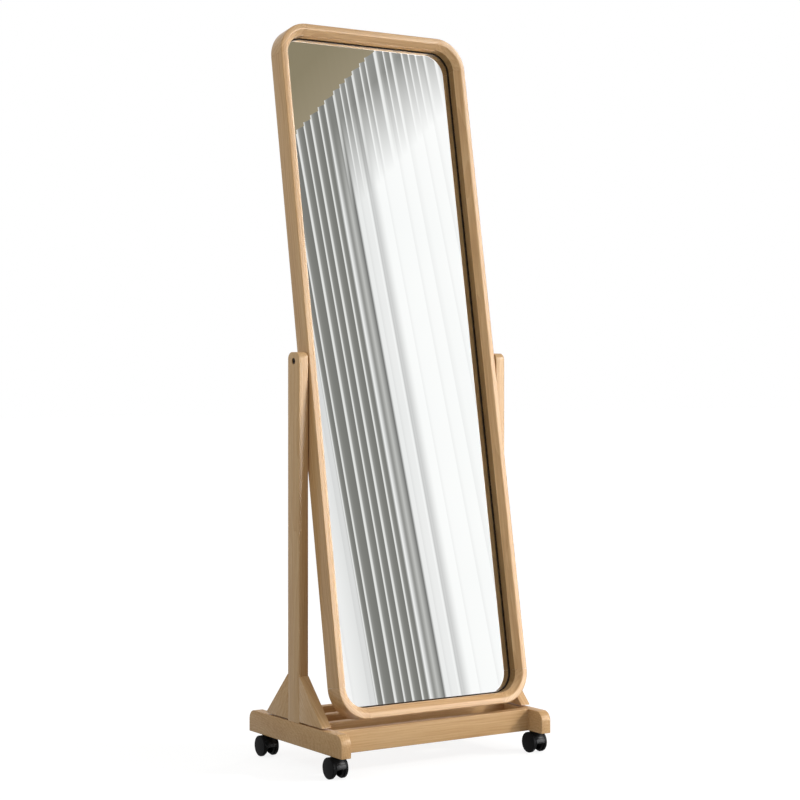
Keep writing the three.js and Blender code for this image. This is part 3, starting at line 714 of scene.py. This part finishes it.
for side, outwards in (("left", -1), ("right", 1)):
    post, low, high = board(f"post_{side}_oak", f"post_{side}")
    open_mesh()
    pick(post, "EDGE", lambda at, _: at.z > high.z - HAIR and abs(at.y) > high.y - HAIR)
    bpy.ops.mesh.bevel(offset=POST_TOP_RADIUS, segments=14, affect="EDGES")
    close_mesh()
    ease_edges(post)
    outer = outwards * POST_OUTER
    outside = (outer * 1.1, 0, AXIS_HEIGHT)
    drill(post, BOLT_HOLE, (0, 0, AXIS_HEIGHT), outside)
    drill(post, HEAD_HOLE, (outer - outwards * (HEAD_SEAT + HEAD_GAP), 0, AXIS_HEIGHT), outside)
    smooth(post)
    wear(post, lacquered_oak(f"Lacquered oak, {side} post", turn=(0, 0, 0.3 * outwards),
                             centre=(low + high) / 2, tone=0.01 * outwards, gloss=0.8))
    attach(post, "base")
    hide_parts(f"post_{side}")
    for end, rearwards in (("front", -1), ("rear", 1)):
        gusset, low, high = board(f"gusset_{end}_{side}_oak", f"gusset_{end}_{side}")
        open_mesh()
        toe_y = low.y if rearwards < 0 else high.y
        tall, deep = high.z - low.z - GUSSET_TOE, high.y - low.y - GUSSET_TOE
        slope = Vector((0, rearwards * tall, deep))
        bpy.ops.mesh.bisect(plane_co=(0, toe_y, low.z + GUSSET_TOE), plane_no=slope.normalized(),
                            clear_outer=True, use_fill=True)
        face_outwards()
        close_mesh()
        ease_edges(gusset, radius=0.0008)
        smooth(gusset)
        # Its grain runs down the slope, as such pieces are cut for strength
        lean = math.atan2(high.y - low.y, high.z - low.z) * rearwards
        wear(gusset, lacquered_oak(f"Lacquered oak, {end} {side} gusset", turn=(lean, 0, 0.2),
                                   centre=(low + high) / 2, tone=0.02 * rearwards,
                                   gloss=0.8))
        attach(gusset, "base")
        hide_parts(f"gusset_{end}_{side}")

# -------------------------------------------------------------------------- feet and cross rails
# The feet are oak boards on edge with rounded noses. Four cross rails are dowelled between them,
# flush with their tops and bottoms, and a bolt through each foot holds its post.

NOSE_RADIUS = 0.020
STEM_AT = 0.1405  # from the middle of the foot's length
STEM_HOLE, STEM_DEPTH = 0.0043, 0.0283
FOOT_HEIGHT = 0.0465
BOLT_IN_POST = 0.038
POST_MIDDLE = 0.2515
RAIL_ROUNDING = 0.0015

for side, outwards in (("left", -1), ("right", 1)):
    foot, low, high = board(f"foot_{side}_oak", f"foot_{side}")
    open_mesh()
    pick(foot, "EDGE", lambda at, _: at.z > high.z - HAIR and abs(at.y) > high.y - HAIR)
    bpy.ops.mesh.bevel(offset=NOSE_RADIUS, segments=16, affect="EDGES")
    close_mesh()
    ease_edges(foot, radius=0.0013)
    foot_middle = (low.x + high.x) / 2
    for end in (-1, 1):
        drill(foot, STEM_HOLE, (foot_middle, end * STEM_AT, low.z - CLEAR),
              (foot_middle, end * STEM_AT, low.z + STEM_DEPTH))
    bolt_x = outwards * POST_MIDDLE
    drill(foot, BOLT_HOLE, (bolt_x, 0, low.z - CLEAR), (bolt_x, 0, high.z + CLEAR))
    drill(foot, HEAD_HOLE, (bolt_x, 0, low.z - CLEAR), (bolt_x, 0, low.z + HEAD_SEAT + HEAD_GAP))
    smooth(foot)
    wear(foot, lacquered_oak(f"Lacquered oak, {side} foot", turn=(math.pi / 2, 0, 0.5 * outwards),
                             centre=(low + high) / 2, tone=0.04, gloss=0.5))
    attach(foot, "base")
    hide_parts(f"foot_{side}")
    foot_bolt = socket_bolt(f"foot_bolt_{side}_steel", FOOT_HEIGHT - HEAD_SEAT + BOLT_IN_POST)
    downwards = Matrix.Rotation(math.pi / 2, 4, "Y")
    settle(foot_bolt, Matrix.Translation((bolt_x, 0, low.z + HEAD_SEAT)) @ downwards)
    smooth(foot_bolt)
    wear(foot_bolt, oxide)
    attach(foot_bolt, "base")
    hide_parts(f"foot_bolt_{side}")

for number in range(1, 5):
    rail, low, high = board(f"cross_rail_{number}_oak", f"cross_rail_{number}")
    open_mesh()
    pick(rail, "EDGE", lambda _, part: abs(part.verts[0].co.x - part.verts[1].co.x) > HAIR)
    bpy.ops.mesh.bevel(offset=RAIL_ROUNDING, segments=4, affect="EDGES")
    close_mesh()
    smooth(rail)
    wear(rail, lacquered_oak(f"Lacquered oak, rail {number}", turn=(0, math.pi / 2, 0),
                             centre=(0, (low.y + high.y) / 2, high.z + 0.02 * number),
                             tone=0.015 * (-1) ** number, gloss=0.3))
    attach(rail, "base")
    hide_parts(f"cross_rail_{number}")

# ---------------------------------------------------------------------------------------- casters
# Black nylon furniture casters. The moulded hood curves over two cup-shaped wheels, with a thick
# rolled lip at its front, a web between the wheels and a collar round the steel stem.

WHEEL_RADIUS = 0.022
TREAD_EDGE, TREAD_ROUND = 0.0164, 0.0017  # where the tread ends, and the radius it ends in
HOOD_RADIUS, HOOD_INNER = 0.022, 0.0201
HOOD_HALF, WEB_HALF = 0.0112, 0.0065
HOOD_FROM, HOOD_SWEEP, LIP_FROM = -25, 207, 155.5  # degrees about the axle, from straight back
WEB_TO = 140  # in the same degrees
HOOD_LIP, LIP_ROLL = 0.0013, 0.0012  # how proud the lip stands, and the radius of its edge
WEB_GAP = 0.0009  # between the web and the top of the cover
TRAIL = 0.007  # the stem stands this far behind the axle
AXLE_DROP = 0.0235  # from the foot down to the axle


def caster_plastic(name, dark, light, specular, roughness, grit):
    """Black moulded nylon: a deep neutral black that is a little grey where its fine spark-eroded
    grain catches the light. The grit is drawn at twice its real size, so that it shows."""
    material, tree, shader = new_material(name, IOR=1.53, Specular_IOR_Level=specular)
    point = object_point(tree)
    cloud = noise(tree, point, 70.0)
    black = ramp(tree, cloud, [(0.3, colour(dark)), (0.75, colour(light))])
    tree.links.new(black, shader.inputs["Base Color"])
    gloss = spread(tree, cloud, roughness - 0.05, roughness + 0.07)
    tree.links.new(gloss, shader.inputs["Roughness"])
    emboss(tree, shader, noise(tree, point, 1 / grit, 3.0), 0.1, 0.0001)
    return material


wheel_plastic = caster_plastic("Black nylon, wheels", "#131314", "#1b1b1c", 0.032, 0.45, 0.0006)
hood_plastic = caster_plastic("Black nylon, hood", "#161617", "#202021", 0.09, 0.32, 0.0005)

# The wheel, with its outer disc towards +X: hub, cup, stepped inner tread, tread and domed disc
tread_round = [(WHEEL_RADIUS - TREAD_ROUND + TREAD_ROUND * math.cos(turn),
                TREAD_EDGE + TREAD_ROUND * math.sin(turn))
               for turn in [math.radians(15 * step) for step in range(7)]]
first_wheel = turned("caster_wheel", [
    (0, 0.0155), (0.0028, 0.0155), (0.0028, 0.0076), (0.0052, 0.0076), (0.0052, 0.0155),
    (0.0169, 0.0155), (0.0169, 0.0076), (0.0193, 0.0076), (0.0193, 0.0116), (0.0218, 0.0116),
    (WHEEL_RADIUS, 0.0118), *tread_round, (0.0190, 0.01822), (0.0150, 0.01850),
    (0.0100, 0.01878), (0.0050, 0.01895), (0, 0.0190),
], 72)

# The hood's cover: a radial edge spun about the axle from behind, over the top, to the front
hood = start_point("caster_hood", (-HOOD_HALF, HOOD_INNER, 0))
extrude(0, HOOD_RADIUS - HOOD_INNER, 0)
select_mesh()
back = Matrix.Rotation(math.radians(HOOD_FROM), 4, "X")
cover_mesh = bmesh.from_edit_mesh(hood.data)
bmesh.ops.transform(cover_mesh, matrix=back, verts=cover_mesh.verts)
bmesh.update_edit_mesh(hood.data)
bpy.ops.mesh.spin(steps=69, angle=math.radians(-HOOD_SWEEP), center=(0, 0, 0), axis=(1, 0, 0))


def turn_of(at):
    """Degrees about the axle, from straight back over the top to the front."""
    angle = math.degrees(math.atan2(at.z, at.y))
    return angle + 360 if angle < -90 else angle


# The lip is a flat band that stands proud along the front edge
pick(hood, "VERT",
     lambda at, _: turn_of(at) > LIP_FROM and math.hypot(at.y, at.z) > HOOD_RADIUS - HAIR)
swell = 1 + HOOD_LIP / HOOD_RADIUS
bpy.ops.transform.resize(value=(1, swell, swell), center_override=(0, 0, 0))
select_mesh()
extrude(2 * HOOD_HALF, 0, 0)
face_outwards()
# The front edge is rolled round, and the sides are eased
pick(hood, "EDGE",
     lambda at, _: turn_of(at) > HOOD_FROM + HOOD_SWEEP - 0.5 and abs(at.x) < HAIR)
bpy.ops.mesh.bevel(offset=LIP_ROLL, segments=6, affect="EDGES")
close_mesh()
ease_edges(hood, radius=0.0005, segments=2)

# The web between the wheels, up to under the cover, and the hub and the collar
clear_selection()
bpy.ops.mesh.primitive_cylinder_add(
    vertices=96, radius=HOOD_RADIUS - WEB_GAP, depth=2 * WEB_HALF, rotation=(0, math.pi / 2, 0))
web = start("caster_web")
open_mesh()
for cut_away in (HOOD_FROM - 90, WEB_TO + 90):
    select_mesh()
    away = math.radians(cut_away)
    bpy.ops.mesh.bisect(plane_co=(0, 0, 0), plane_no=(0, math.cos(away), math.sin(away)),
                        clear_outer=True, use_fill=True)
close_mesh()
ease_edges(web, radius=0.0006, segments=2)
hub = turned("caster_hub", [
    (0.0028, -WEB_HALF), (0.0072, -WEB_HALF), (0.0075, 0.0003 - WEB_HALF),
    (0.0075, WEB_HALF - 0.0003), (0.0072, WEB_HALF), (0.0028, WEB_HALF), (0.0028, -WEB_HALF),
])
collar = turned("caster_collar", [
    (0.0038, 0.0148), (0.0064, 0.0148), (0.0064, 0.0218), (0.0061, 0.0223), (0.0038, 0.0223),
    (0.0038, 0.0148),
])
settle(collar, Matrix.Translation((0, TRAIL, 0)) @ Matrix.Rotation(-math.pi / 2, 4, "Y"))
for part in (web, hub, collar):
    smooth(part)
smooth(hood, 38)
clear_selection()
for part in (web, hub, collar, hood):
    part.select_set(True)
bpy.context.view_layer.objects.active = hood
bpy.ops.object.join()

stem = turned("caster_stem", [
    (0, -0.0225), (0.003, -0.0225), (0.0035, -0.022), (0.0035, -0.0009), (0.0057, -0.0009),
    (0.006, -0.0006), (0.006, 0), (0.004, 0), (0.004, 0.0272), (0.0034, 0.028), (0, 0.028),
])
for end in ("front", "rear"):
    for side in ("left", "right"):
        corner = f"{end}_{side}"
        low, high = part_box(f"caster_axle_{corner}")
        axle = Matrix.Translation((low + high) / 2)
        cover = copy_of(hood, f"caster_hood_{corner}_nylon")
        settle(cover, axle)
        wear(cover, hood_plastic)
        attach(cover, f"caster_{corner}")
        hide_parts(f"caster_hood_{corner}")
        finish_node(f"caster_axle_{corner}", zinc)
        pin = copy_of(stem, f"caster_stem_{corner}_steel")
        stem_seat = axle @ Matrix.Translation((0, TRAIL, AXLE_DROP))
        settle(pin, stem_seat @ Matrix.Rotation(-math.pi / 2, 4, "Y"))
        smooth(pin)
        wear(pin, zinc)
        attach(pin, "base")
        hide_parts(f"caster_stem_{corner}")
        for which in ("outer", "inner"):
            faces_right = (side == "right") == (which == "outer")
            wheel = copy_of(first_wheel, f"caster_wheel_{which}_{corner}_nylon")
            settle(wheel, axle @ Matrix.Rotation(0 if faces_right else math.pi, 4, "Z"))
            smooth(wheel)
            wear(wheel, wheel_plastic)
            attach(wheel, f"wheel_{which}_{corner}")
            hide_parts(f"caster_wheel_{which}_{corner}")
for pattern in (first_wheel, hood, stem):
    bpy.data.objects.remove(pattern)

# ------------------------------------------------------------------------- floor, light and camera
# A pale seamless floor that takes a light shadow, a white room, a sun from the front right and a
# weak one from behind, and three soft boxes. A pleated white drape hangs where the glass looks,
# and only reflections see it. It is no lamp but a glowing sheet, painted light, with the shade of
# its folds painted into its colour.

FLOOR_BOUNCE, ROOM_LIGHT = 0.33, 0.47  # floor and room as the part's light, where 1 is white
OWN_WHITE = 0.76  # the share of the floor's look that no shadow darkens
PAPER_GLOW = 1.12


def seen(tree):
    """1 where the eye sees a thing itself, or sees it in glass or metal, and 0 for its light."""
    rays = add(tree, "LightPath").outputs
    eye = calc(tree, "MAXIMUM", rays["Is Camera Ray"], rays["Is Glossy Ray"])
    eye = calc(tree, "MAXIMUM", eye, rays["Is Transmission Ray"])
    first = calc(tree, "LESS_THAN", rays["Diffuse Depth"], 0.5)
    return calc(tree, "MULTIPLY", eye, first)


clear_selection()
bpy.ops.mesh.primitive_plane_add(size=60)
floor = start("floor")
paper, tree, shader = new_material("White studio paper", Roughness=0.9, Specular_IOR_Level=0.0)
emboss(tree, shader, noise(tree, object_point(tree), 300.0), 0.02, 0.0002)
# To the eye the paper is mostly its own white, so that the shadow on it stays light
eye = seen(tree)
tree.links.new(spread(tree, eye, FLOOR_BOUNCE, 1.0), shader.inputs["Base Color"])
white = add(tree, "Emission", {"Strength": PAPER_GLOW}).outputs[0]
floor_mix = add(tree, "MixShader", {
    0: calc(tree, "MULTIPLY", eye, OWN_WHITE), 1: shader.outputs[0], 2: white})
tree.links.new(floor_mix.outputs[0], tree.nodes["Material Output"].inputs["Surface"])
floor.data.materials.append(paper)

DRAPE_AWAY = 3.0
DRAPE_MIDDLE = 1.6  # height of its middle
DRAPE_SIZE = (2.4, 4.4, 1)
LOOK = math.radians(34.8)  # the glass looks this far right of straight ahead
DEEP_PLEAT, FAINT_PLEAT = 0.0325, 0.058
DRAPE_EDGE = 2.927  # height of its top edge, above the middle of its width
DAYLIGHT = 16.0  # brightness of the cloth as the lacquer sees it

clear_selection()
bpy.ops.mesh.primitive_plane_add(
    size=1, location=(DRAPE_AWAY * math.sin(LOOK), -DRAPE_AWAY * math.cos(LOOK), DRAPE_MIDDLE),
    rotation=(math.pi / 2, 0, LOOK))
drape = bpy.context.object
drape.name = "drape"
drape.scale = DRAPE_SIZE
bpy.ops.object.transform_apply(location=False, rotation=False, scale=True)
cloth, tree, shader = new_material("White pleated drape")
across, up, _ = add(tree, "SeparateXYZ", {"Vector": object_point(tree)}).outputs
# The pleats lean a little and are about 32 mm apart, though no two are the same
lean = calc(tree, "MULTIPLY_ADD", up, -0.015, across)
uneven = add(tree, "TexNoise", {"W": lean, "Scale": 14.0, "Detail": 0.0},
             noise_dimensions="1D").outputs["Fac"]
shifted = calc(tree, "MULTIPLY_ADD", uneven, 0.035, lean)


def along_folds(source, pitch):
    """From 0 to 1 across each fold."""
    return calc(tree, "FRACT", calc(tree, "DIVIDE", source, pitch))


# The pleats' colours are painted shade: dark in the hollow of each deep pleat, faintly grey in the
# shallow ones.
deep = ramp(tree, along_folds(shifted, DEEP_PLEAT), [
    (0.0, colour("#ececeb")), (0.08, colour("#dcdcda")), (0.18, colour("#979794")),
    (0.4, colour("#83837f")), (0.88, colour("#777773")), (0.94, colour("#ececeb"))])
faint = ramp(tree, along_folds(shifted, FAINT_PLEAT), [
    (0.0, colour("#f4f4f4")), (0.25, colour("#fdfdfd")), (0.93, colour("#ffffff"))])
# The broad folds of the cloth, their shade painted in: white, then the gathered pleats, one deep
# fold, and white again
where = spread(tree, lean, 0.0, 1.0, since=-0.5, until=0.5)
broad_fold_shade = ramp(tree, where, [
    (0.10, colour("#ffffff")), (0.215, colour("#dfdfdf")), (0.412, colour("#ffffff")),
    (0.431, colour("#8e8e8b")), (0.445, colour("#c4c4c2")), (0.466, colour("#6b6b69")),
    (0.471, colour("#efefef")), (0.516, colour("#f1f1f1")), (0.522, colour("#ffffff")),
    (0.527, colour("#cccccc")), (0.565, colour("#ffffff"))])
smooth_cloth = mix(tree, 1.0, broad_fold_shade, faint, "MULTIPLY")
gathered = ramp(tree, where, [(0.217, grey(0)), (0.221, grey(1)), (0.409, grey(1)),
                              (0.412, grey(0))])
white_cloth = mix(tree, gathered, smooth_cloth, deep)
# Above the drape's edge, which climbs to the right in small steps, there is a shaded wall. Below
# the edge, the pleats' painted shade deepens towards it.
step = calc(tree, "MULTIPLY_ADD", along_folds(shifted, DEEP_PLEAT), -0.02, across)
edge = calc(tree, "MULTIPLY_ADD", step, 0.78, DRAPE_EDGE - DRAPE_MIDDLE)
above = calc(tree, "SUBTRACT", up, edge)
painted_shade_under_edge = spread(tree, above, 0.0, 0.9, since=-0.50, until=-0.12)
white_cloth = mix(tree, painted_shade_under_edge, white_cloth, deep)
is_wall = calc(tree, "GREATER_THAN", above, 0.0)
wall = ramp(tree, above, [(0.0, colour("#998e77")), (0.2, colour("#8d836b"))])
seen_there = mix(tree, is_wall, white_cloth, wall)
# The cloth glows as painted light in place of daylight, far brighter than white, so that the satin
# lacquer takes a soft sheen from it. The glass shows the cloth as a picture shows it, at white.
sheen = spread(tree, add(tree, "LightPath").outputs["Is Singular Ray"], DAYLIGHT, 1.0)
brightness = add(tree, "Mix", {"Factor": is_wall, 2: sheen, 3: 1.0}).outputs[0]
glow = add(tree, "Emission", {"Color": seen_there, "Strength": brightness})
tree.links.new(glow.outputs[0], tree.nodes["Material Output"].inputs["Surface"])
drape.data.materials.append(cloth)
drape.visible_camera = drape.visible_diffuse = drape.visible_shadow = False
drape.visible_transmission = drape.visible_volume_scatter = False

world = bpy.data.worlds.new("White room")
bpy.context.scene.world = world
world.use_nodes = True
tree = world.node_tree
tree.nodes.clear()
strength = spread(tree, seen(tree), ROOM_LIGHT, 1.0)
room = add(tree, "Background", {"Strength": strength, "Color": grey(1)})
add(tree, "OutputWorld", {"Surface": room.outputs[0]})

key_from = Vector((1.3, -1.0, 0.95)).normalized()
bpy.ops.object.light_add(type="SUN", rotation=key_from.to_track_quat("Z", "Y").to_euler())
key = bpy.context.object
key.name = "key"
key.data.energy = 1.25
key.data.angle = math.radians(6)
key.data.color = (1.0, 0.97, 0.92)

# Three soft boxes: the daylight from low on the right, a faint one on the left, and one behind for
# the back of the mirror. None of them shows in the lacquer, where the drape gives the sheen.
for box_name, at, towards, width, height, watts, tint in (
        ("window", (1.35, -1.7, 0.45), (0, 0, 0.6), 0.9, 0.6, 15.5, (1.0, 0.98, 0.95)),
        ("left fill", (-1.4, -0.35, 1.5), (-0.26, 0, 0.9), 0.7, 0.7, 4.0, (0.92, 1.0, 0.93)),
        ("back fill", (0.4, 2.6, 1.1), (0, 0, 0.7), 1.2, 1.2, 13, (1.0, 0.98, 0.95))):
    facing = (Vector(at) - Vector(towards)).to_track_quat("Z", "Y").to_euler()
    bpy.ops.object.light_add(type="AREA", location=at, rotation=facing)
    soft_box = bpy.context.object
    soft_box.name = box_name
    soft_box.data.shape = "RECTANGLE"
    soft_box.data.size, soft_box.data.size_y = width, height
    soft_box.data.energy = watts
    soft_box.data.color = tint
    soft_box.visible_glossy = soft_box.visible_camera = False

rim_from = Vector((0.80, 0.55, 0.25))
bpy.ops.object.light_add(type="SUN", rotation=rim_from.to_track_quat("Z", "Y").to_euler())
rim = bpy.context.object
rim.name = "rim"
rim.data.energy = 0.65
rim.data.angle = math.radians(14)

camera_data = bpy.data.cameras.new("camera")
camera = bpy.data.objects.new("camera", camera_data)
bpy.context.scene.collection.objects.link(camera)
bpy.context.scene.camera = camera
camera_data.sensor_width = 36
camera_data.lens = 86.51
camera_data.shift_y = -25.5 / 800  # 25.5 px of the picture's 800
camera.location = (-2.2648, -3.447, 0.812)
camera.rotation_euler = Euler((math.pi / 2, 0, math.radians(-33.324)))

bpy.context.scene.view_settings.view_transform = "Standard"
